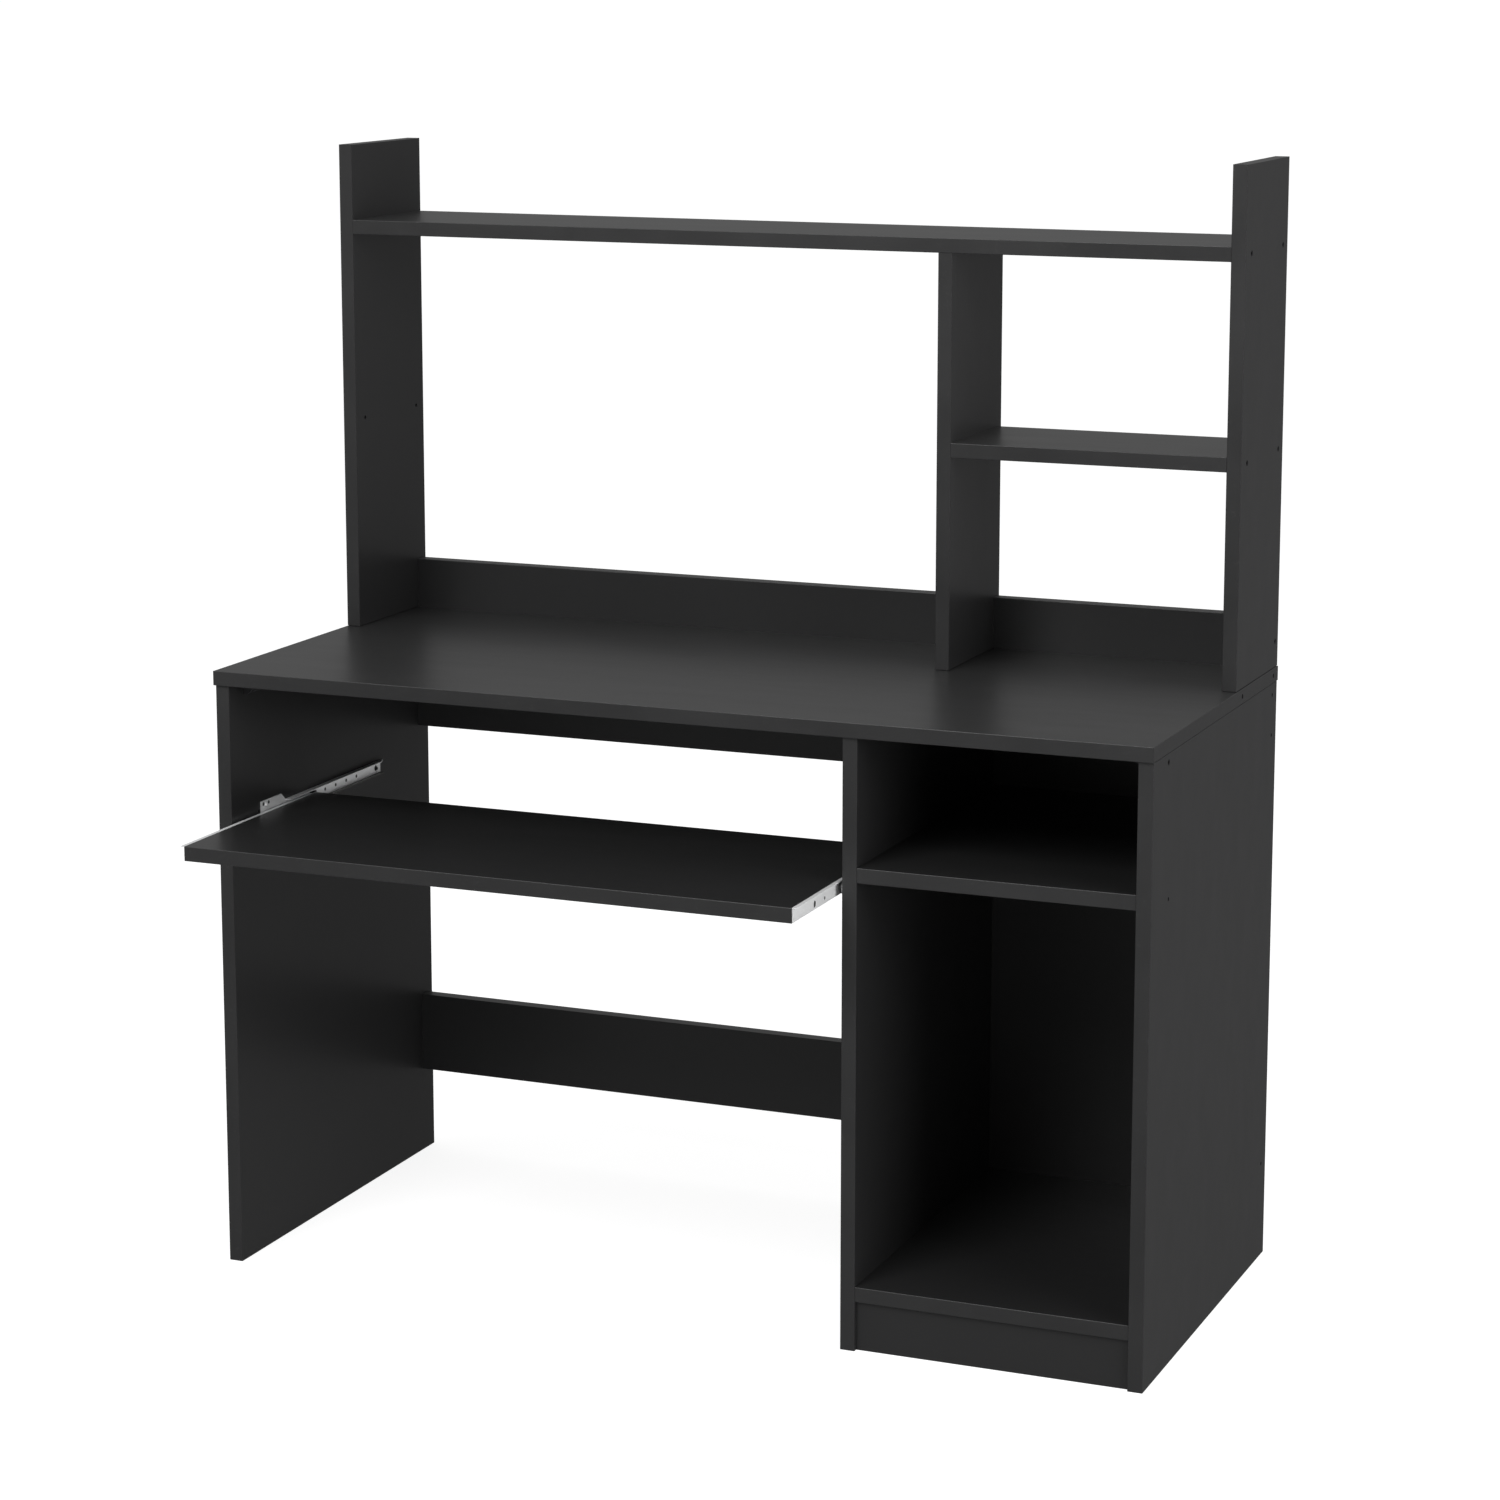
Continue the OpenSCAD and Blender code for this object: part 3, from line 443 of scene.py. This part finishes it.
def track_faces(piece):
    """The roller track along a cabinet rail's foot, without its underside."""
    lowest = min(v.co.z for v in piece.data.vertices)
    return [f.index for f in piece.data.polygons
            if f.center.z < lowest + TRACK_H and f.normal.z > UNDERSIDE]


for side_name in ("left", "right"):
    cabinet_rail = rounded(side_name + "_cabinet_rail", RAIL_EDGE, segments=3)
    # Painted shade: the walls of the punched holes and the roller track get dark zinc
    paint_shade(cabinet_rail, punched_faces(cabinet_rail) + track_faces(cabinet_rail))
    tray_rail = rounded(side_name + "_tray_rail", RAIL_EDGE, segments=3)
    # Painted shade on the walls of the tray rail's punched holes
    paint_shade(tray_rail, punched_faces(tray_rail))


# Screws of the slides
LUG_SCREW_EDGE = 0.25 * MM
HEAD_AREA = 20 * MM * MM
RECESS_RIM = 1.1 * MM
RECESS_SLOPE = 0.22 * MM
RECESS_DEPTH = 0.8 * MM


def recessed(node_name):
    """Screws with a recess sunk into each flat head, its floor and walls dark with painted shade.
    """
    piece = copy_of(node_name)
    shape = bmesh.new()
    shape.from_mesh(piece.data)
    heads = [f for f in shape.faces
             if abs(f.normal.x) > FACES_SIDEWAYS and f.calc_area() > HEAD_AREA]
    bmesh.ops.inset_individual(shape, faces=heads, thickness=RECESS_RIM)
    walls = bmesh.ops.inset_individual(shape, faces=heads, thickness=RECESS_SLOPE,
                                       depth=-RECESS_DEPTH)
    shape.faces.index_update()
    # Painted shade on the floor and walls of each recess
    dark = [f.index for f in heads + walls["faces"]]
    shape.to_mesh(piece.data)
    shape.free()
    paint_shade(adopt(piece, node_name), dark)


rounded("lug_screws", LUG_SCREW_EDGE, segments=2)
recessed("tray_rail_screws")


# Rollers. Their radii and widths are in mm.
WHEEL_STEPS = 56
WHEEL_SHARP_ANGLE = math.radians(35.0)
BORE_R = 2.05
BORE_CHAMFER = 0.25
HUB_W = 1.1
TYRE_W = 1.45
GROOVE_DEPTH = 0.35
GROOVE_SLOPE = 0.25
RIM_ROUND = 0.5
RIM_CORNER = 0.15


def lathe(name, profile, centre):
    """A piece turned about an axis along X. The closed profile is a list of (x, radius) in mm."""
    shape = bmesh.new()
    rings = []
    for step in range(WHEEL_STEPS):
        turn = 2 * math.pi * step / WHEEL_STEPS
        rings.append([
            shape.verts.new((centre.x + x * MM,
                             centre.y + r * MM * math.cos(turn),
                             centre.z + r * MM * math.sin(turn)))
            for x, r in profile
        ])
    for step, ring in enumerate(rings):
        after = rings[(step + 1) % WHEEL_STEPS]
        for i in range(len(profile)):
            j = (i + 1) % len(profile)
            shape.faces.new((ring[i], ring[j], after[j], after[i]))
    bmesh.ops.recalc_face_normals(shape, faces=shape.faces)
    mesh = bpy.data.meshes.new(name)
    shape.to_mesh(mesh)
    shape.free()
    mesh.shade_smooth()
    mesh.set_sharp_from_angle(angle=WHEEL_SHARP_ANGLE)
    piece = bpy.data.objects.new(name, mesh)
    SCENE.collection.objects.link(piece)
    return piece


def roller(node_name):
    """A nylon roller with rounded rims, a shallow groove on each side and a raised hub."""
    low, high = (Vector(v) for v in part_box(node_name))
    half = (high.x - low.x) / 2 / MM
    rim = (high.z - low.z) / 2 / MM
    face = half - GROOVE_DEPTH
    side = [
        (half, BORE_R + BORE_CHAMFER),
        (half, BORE_R + HUB_W),
        (face, BORE_R + HUB_W + GROOVE_SLOPE),
        (face, rim - TYRE_W - GROOVE_SLOPE),
        (half, rim - TYRE_W),
        (half, rim - RIM_ROUND),
        (half - RIM_CORNER, rim - RIM_CORNER),
        (half - RIM_ROUND, rim),
    ]
    other_side = [(-x, r) for x, r in reversed(side)]
    bore = [(-half + BORE_CHAMFER, BORE_R), (half - BORE_CHAMFER, BORE_R)]
    wheel = lathe(node_name + "_wheel", side + other_side + bore, (low + high) / 2)
    adopt(wheel, node_name)


for roller_name in ("left_front_roller", "right_front_roller", "left_rear_roller",
                    "right_rear_roller"):
    roller(roller_name)
